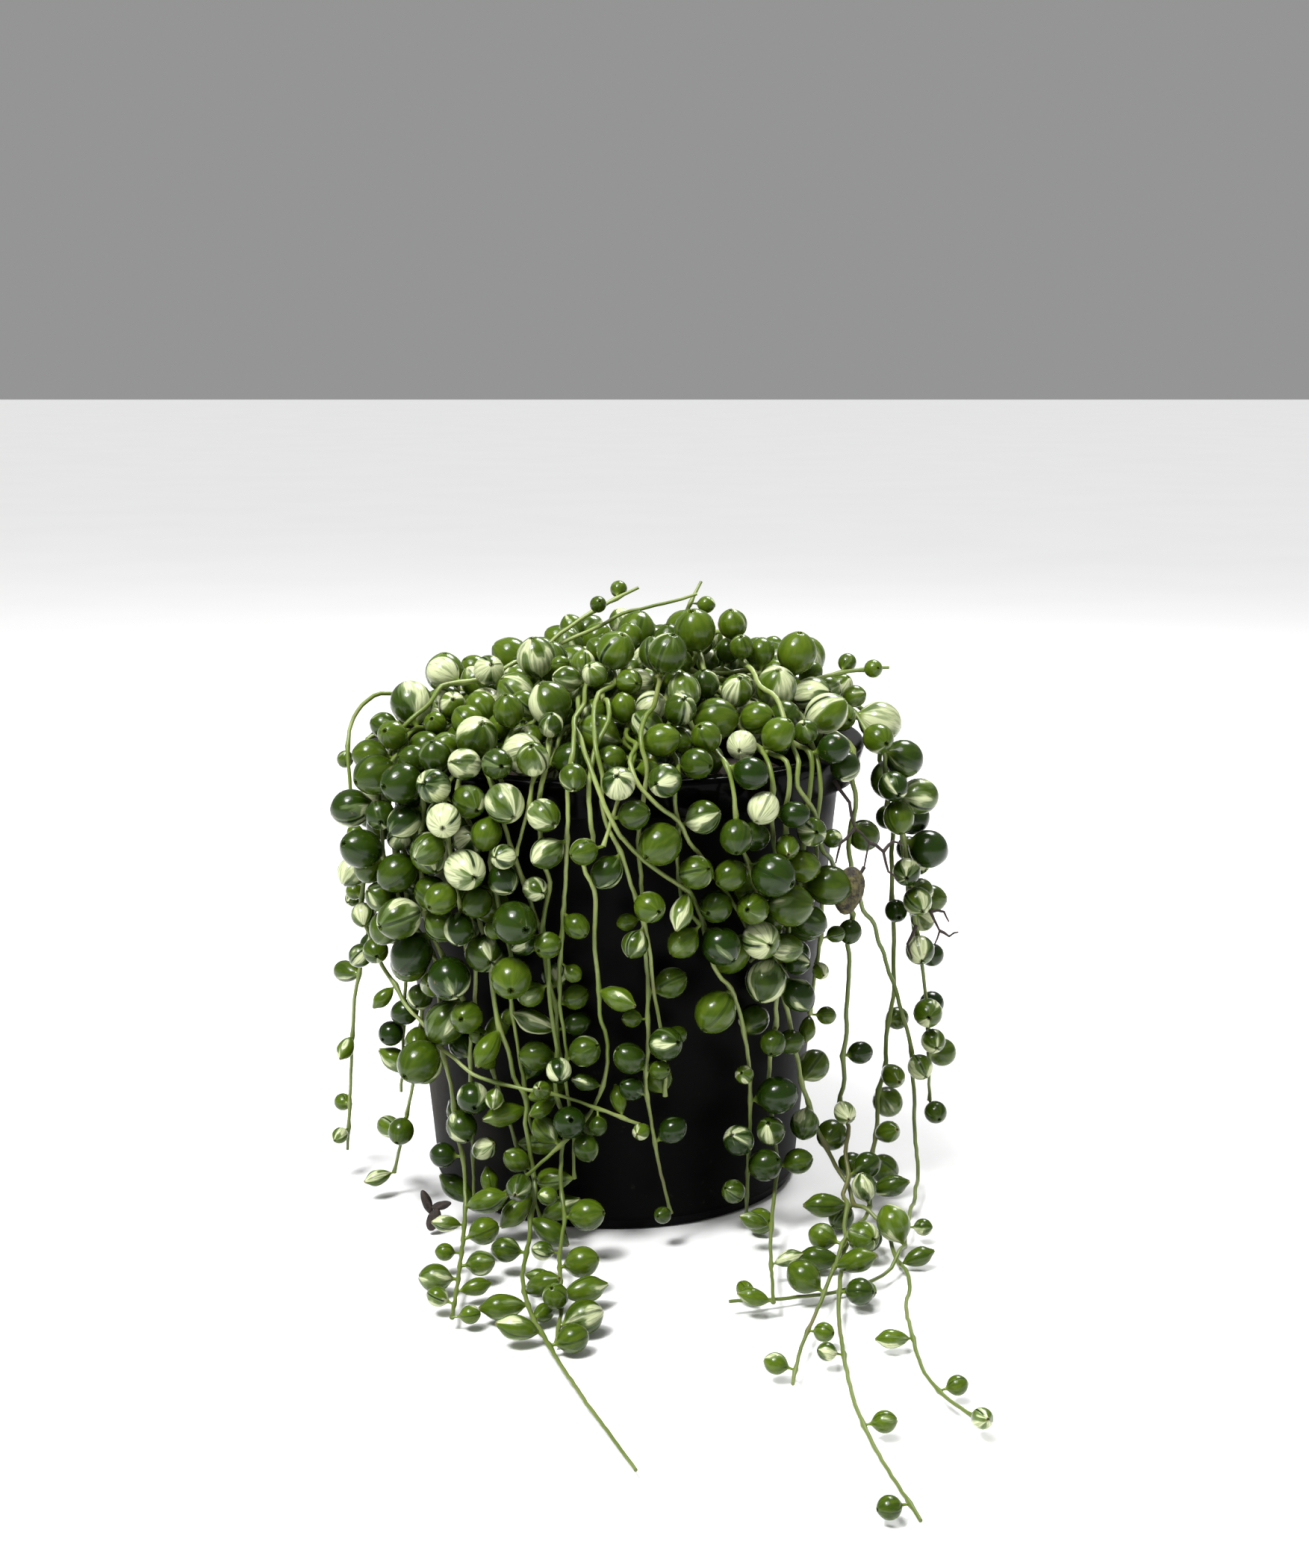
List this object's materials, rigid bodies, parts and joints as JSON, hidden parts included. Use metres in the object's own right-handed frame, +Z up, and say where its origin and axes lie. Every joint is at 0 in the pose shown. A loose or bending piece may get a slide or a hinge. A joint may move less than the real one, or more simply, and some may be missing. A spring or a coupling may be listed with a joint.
{
  "type": "potted string of pearls",
  "caption": "Black plastic nursery pot with a variegated trailing succulent: thin stems of round pointed leaves crown it, hang down its wall and lie along the surface.",
  "frame": {"origin": "centre of the pot's flat base, on the surface it stands on", "axes": "+Z up along the pot's axis, -Y towards the viewer of the plant's front, +X to the viewer's right"},
  "size_m": [0.1379, 0.2482, 0.1338],
  "materials": {
    "pot_plastic": "black injection-moulded polypropylene, glossy on the rim, dusty low on one side",
    "potting_soil": "dark, matte, crumbly potting mix",
    "leaf": "glossy fleshy leaf, green with cream sectors and a dark translucent stripe",
    "stem": "satin pale green stem, brownish where old"
  },
  "bodies": {
    "root": {"pot": "pot_plastic", "soil": "potting_soil", "strand_far_left_short": "leaf", "strand_long_sweep": "leaf", "strand_outer_left": "leaf", "strand_left_bare": "leaf", "strand_left_inner": "leaf", "strand_big_pearls_left": "leaf", "strand_big_pearls_right": "leaf", "strand_left_drops": "leaf", "strand_front_left_long": "leaf", "strand_front_left_short": "leaf", "strand_front_bare": "leaf", "strand_front_beads": "leaf", "strand_front_right_drape": "leaf", "strand_front_right_cross": "leaf", "strand_right_long_trail": "leaf", "strand_right_low_trail": "leaf", "strand_right_bare_loop": "leaf", "strand_right_thin": "leaf", "strand_right_cluster_inner": "leaf", "strand_right_cluster_outer": "leaf", "strand_right_drops_trail": "leaf", "strand_right_far_trail": "leaf", "strand_front_floor_pearls": "leaf", "strand_front_floor_drops": "leaf", "strand_left_floor_drops": "leaf", "strand_crossing_low": "leaf", "strand_left_rim_outer": "leaf", "strand_left_rim_inner": "leaf", "strand_front_rim_middle": "leaf", "strand_front_rim_right": "leaf", "strand_front_rim_far_right": "leaf", "strand_front_rim_left": "leaf", "strand_front_rim_centre": "leaf", "strand_crown_pair": "leaf", "strand_crown_tip": "leaf", "strand_crown_bare": "leaf", "strand_crown_right_tip": "leaf", "strand_back_01": "leaf", "strand_back_02": "leaf", "strand_back_03": "leaf", "strand_back_04": "leaf", "strand_back_05": "leaf", "strand_back_06": "leaf", "strand_back_07": "leaf", "strand_back_08": "leaf", "strand_back_09": "leaf", "strand_back_10": "leaf", "strand_crown_01": "leaf", "strand_crown_02": "leaf", "strand_crown_03": "leaf", "strand_crown_04": "leaf", "strand_crown_05": "leaf", "strand_crown_06": "leaf", "strand_crown_07": "leaf", "strand_crown_08": "leaf", "strand_crown_09": "leaf", "strand_crown_10": "leaf", "strand_crown_11": "leaf"}
  },
  "joints": []
}
